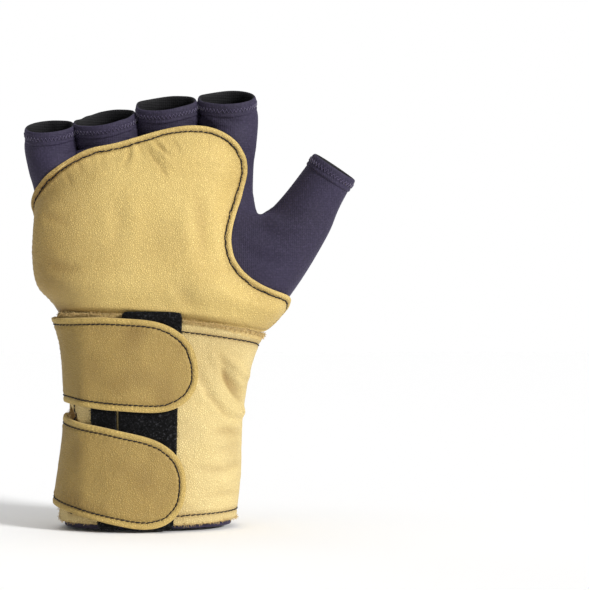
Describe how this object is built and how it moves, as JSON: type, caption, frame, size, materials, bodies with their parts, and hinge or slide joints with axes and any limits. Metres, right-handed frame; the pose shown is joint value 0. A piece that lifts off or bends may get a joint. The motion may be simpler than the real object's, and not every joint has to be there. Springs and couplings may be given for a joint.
{
  "type": "impact glove",
  "caption": "Half-finger work glove in its worn shape: stretch-cloth hand, padded leather palm, leather wrist cuff closed by straps on loop tape.",
  "frame": {"origin": "middle of the wrist mouth, where the hand goes in", "axes": "+Z from the wrist mouth towards the fingers; -Y is the palm's side; +X is the thumb's side"},
  "size_m": [0.1656, 0.0625, 0.2172],
  "materials": {
    "cream_leather": "cream-yellow grain leather, matt",
    "black_pile": "black loop pile",
    "navy_cloth": "dark navy stretch cloth, matt"
  },
  "bodies": {
    "root": {"palm_pad": "cream_leather", "cuff": "cream_leather", "strap_upper": "cream_leather", "strap_lower": "cream_leather", "loop_tape_wide": "black_pile", "loop_tape_narrow": "black_pile", "hand_shell": "navy_cloth", "hem_little": "navy_cloth", "hem_ring": "navy_cloth", "hem_middle": "navy_cloth", "hem_index": "navy_cloth", "hem_thumb": "navy_cloth"}
  },
  "joints": []
}
